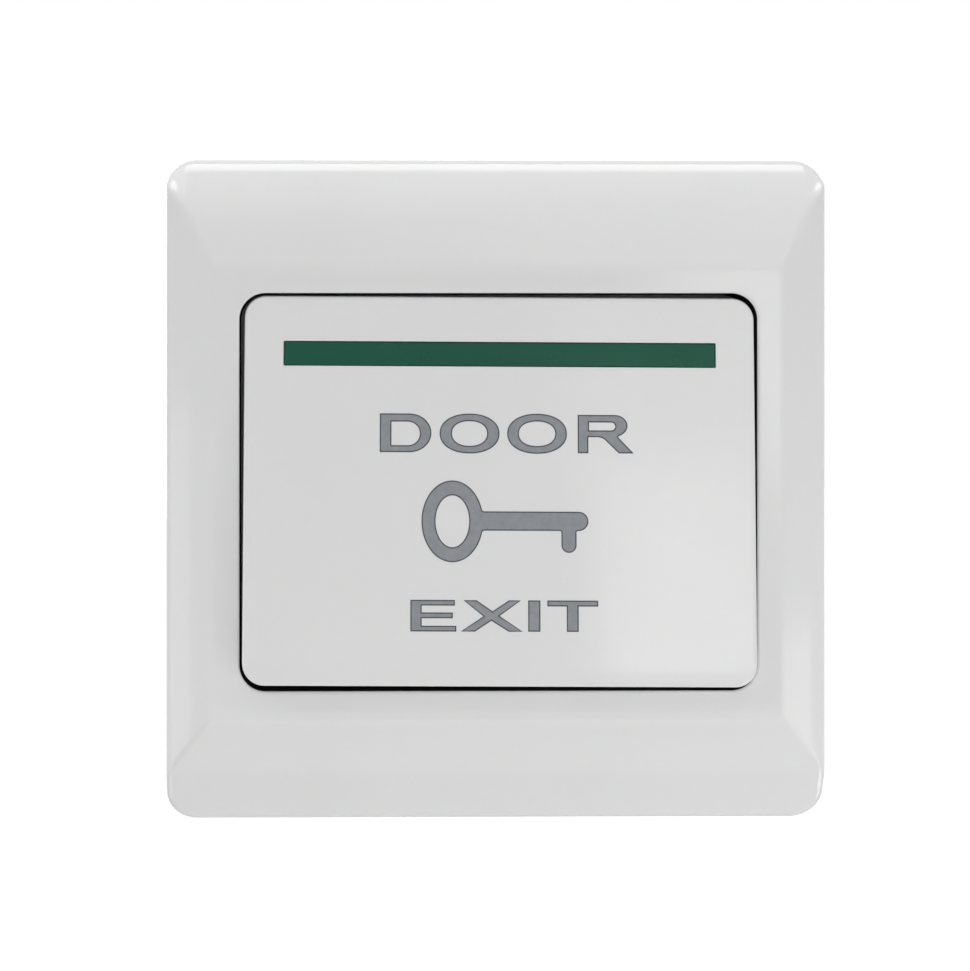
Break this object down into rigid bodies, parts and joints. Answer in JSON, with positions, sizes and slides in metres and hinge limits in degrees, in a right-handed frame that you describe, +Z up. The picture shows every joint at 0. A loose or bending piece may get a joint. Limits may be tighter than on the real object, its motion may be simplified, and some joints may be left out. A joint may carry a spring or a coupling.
{
  "type": "door exit button",
  "caption": "Square wall-mounted door exit button: a large rocking push plate in a clip-on frame, with a switch block behind.",
  "frame": {"origin": "centre of the mounting plate's back face, midway between the two wall screws, on the wall's surface", "axes": "+Y into the wall (the room is on -Y), +Z up, +X to the viewer's right"},
  "size_m": [0.086, 0.0253, 0.086],
  "materials": {
    "gloss_white": "moulded gloss",
    "matte_white": "moulded satin",
    "green_insert": "moulded gloss",
    "ivory_nylon": "moulded satin",
    "grey_acetal": "moulded satin",
    "zinc_steel": "zinc plated",
    "spring_steel": "bright drawn wire",
    "brass_strip": "stamped sheet",
    "silver_contact": "silver contact face"
  },
  "bodies": {
    "base": {"trim_frame": "gloss_white", "mounting_plate": "matte_white", "contact_housing": "ivory_nylon", "housing_cover": "ivory_nylon", "housing_screws": "zinc_steel", "cover_screws": "zinc_steel", "plunger_return_spring": "spring_steel", "terminal_common": "brass_strip", "terminal_switched": "brass_strip", "fixed_contacts": "silver_contact", "wire_clamps": "zinc_steel", "terminal_nuts": "zinc_steel", "terminal_screws": "zinc_steel"},
    "button": {"button_cap": "gloss_white", "marker_strip": "green_insert"},
    "plunger": {"plunger": "grey_acetal", "contact_bridge": "brass_strip", "bridge_contacts": "silver_contact", "bridge_spring": "spring_steel", "bridge_clip": "spring_steel"}
  },
  "joints": [
    {"name": "button_hinge", "type": "hinge", "parent": "base", "child": "button", "pos_m": [0, -0.0044, 0.02], "axis": [1, 0, 0], "range_deg": [0, 4.5], "stiffness_Nm_per_rad": 0.2, "springref_deg": -5.73},
    {"name": "plunger_slide", "type": "slide", "parent": "base", "child": "plunger", "axis": [0, 1, 0], "range_m": [0, 0.0021], "stiffness_N_per_m": 5, "springref_m": -0.003, "deforming": ["plunger_return_spring"]}
  ],
  "couplings": [
    {"joint": "plunger_slide", "follows": "button_hinge", "m_per_rad": 0.026}
  ]
}
